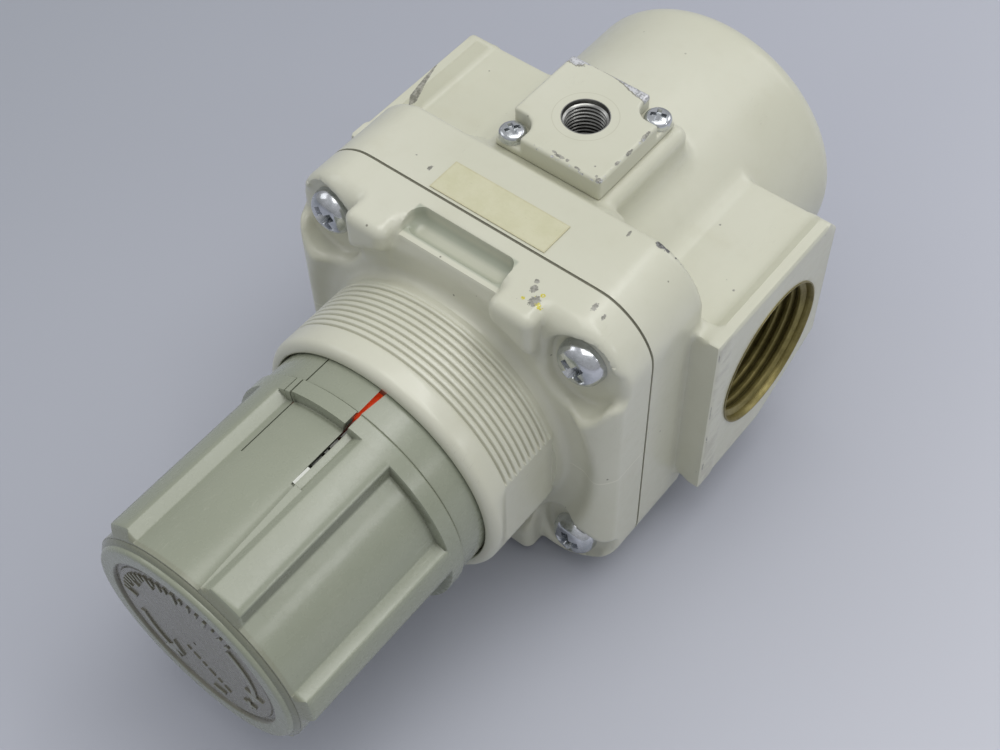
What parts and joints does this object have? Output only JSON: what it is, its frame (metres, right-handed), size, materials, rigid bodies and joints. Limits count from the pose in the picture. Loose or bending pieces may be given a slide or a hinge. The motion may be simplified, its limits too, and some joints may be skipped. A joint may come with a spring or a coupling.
{
  "type": "air pressure regulator",
  "caption": "Compressed air pressure regulator with a square diaphragm flange, threaded ports on both sides, a gauge port, a panel thread and a ribbed lockable knob.",
  "frame": {"origin": "where the axis of the two pipe ports crosses the axis of the valve, screw and knob", "axes": "+X out of the outlet port, -Y out through the knob, +Z out of the gauge port; the object lies on its side as in the picture"},
  "size_m": [0.095, 0.1732, 0.0852],
  "materials": {
    "cream_paint": "semi-gloss cream coating over a zinc die casting",
    "grip_plastic": "satin moulded grey-green plastic",
    "zinc_plate": "bright zinc plating",
    "spring_steel": "plain steel, lightly oiled",
    "brass": "machined",
    "black_rubber": "moulded nitrile rubber",
    "dark_plastic": "moulded",
    "orange_plastic": "moulded signal orange",
    "label_film": "blank printed-film sticker"
  },
  "bodies": {
    "housing": {"body": "cream_paint", "bonnet": "cream_paint", "bonnet_screws": "zinc_plate", "gauge_adapter": "cream_paint", "gauge_adapter_screws": "zinc_plate", "gauge_adapter_oring": "black_rubber", "rear_adapter": "cream_paint", "rear_adapter_screws": "zinc_plate", "rear_adapter_oring": "black_rubber", "rear_plug": "zinc_plate", "label": "label_film", "valve_guide": "dark_plastic", "guide_clip": "spring_steel", "guide_oring": "black_rubber", "valve_seat": "brass", "indicator_ring": "orange_plastic", "diaphragm": "black_rubber", "valve_spring": "spring_steel", "adjusting_spring": "spring_steel", "thrust_washer": "brass"},
    "screw": {"adjusting_screw": "spring_steel", "screw_clip": "spring_steel"},
    "knob": {"knob": "grip_plastic", "knob_cap": "grip_plastic"},
    "nut": {"spring_nut": "spring_steel"},
    "diaphragm_stack": {"diaphragm_plate": "spring_steel", "relief_seat": "brass", "diaphragm_nut": "zinc_plate"},
    "valve": {"valve_stem": "brass", "valve_rubber": "black_rubber"}
  },
  "joints": [
    {"name": "knob_turn", "type": "hinge", "parent": "housing", "child": "screw", "pos_m": [0, -0.1, 0], "axis": [0, 1, 0], "range_deg": [0, 2880]},
    {"name": "knob_lock", "type": "slide", "parent": "screw", "child": "knob", "axis": [0, 1, 0], "range_m": [0, 0.004]},
    {"name": "nut_slide", "type": "slide", "parent": "housing", "child": "nut", "axis": [0, 1, 0], "range_m": [0, 0.014], "deforming": ["adjusting_spring"]},
    {"name": "diaphragm_move", "type": "slide", "parent": "housing", "child": "diaphragm_stack", "axis": [0, 1, 0], "range_m": [0, 0.003], "deforming": ["diaphragm"]},
    {"name": "valve_open", "type": "slide", "parent": "housing", "child": "valve", "axis": [0, 1, 0], "range_m": [0, 0.003], "deforming": ["valve_spring"]}
  ],
  "couplings": [
    {"joint": "nut_slide", "follows": "knob_turn", "m_per_rad": 0.0002785},
    {"joint": "valve_open", "follows": "diaphragm_move", "ratio": 1}
  ]
}
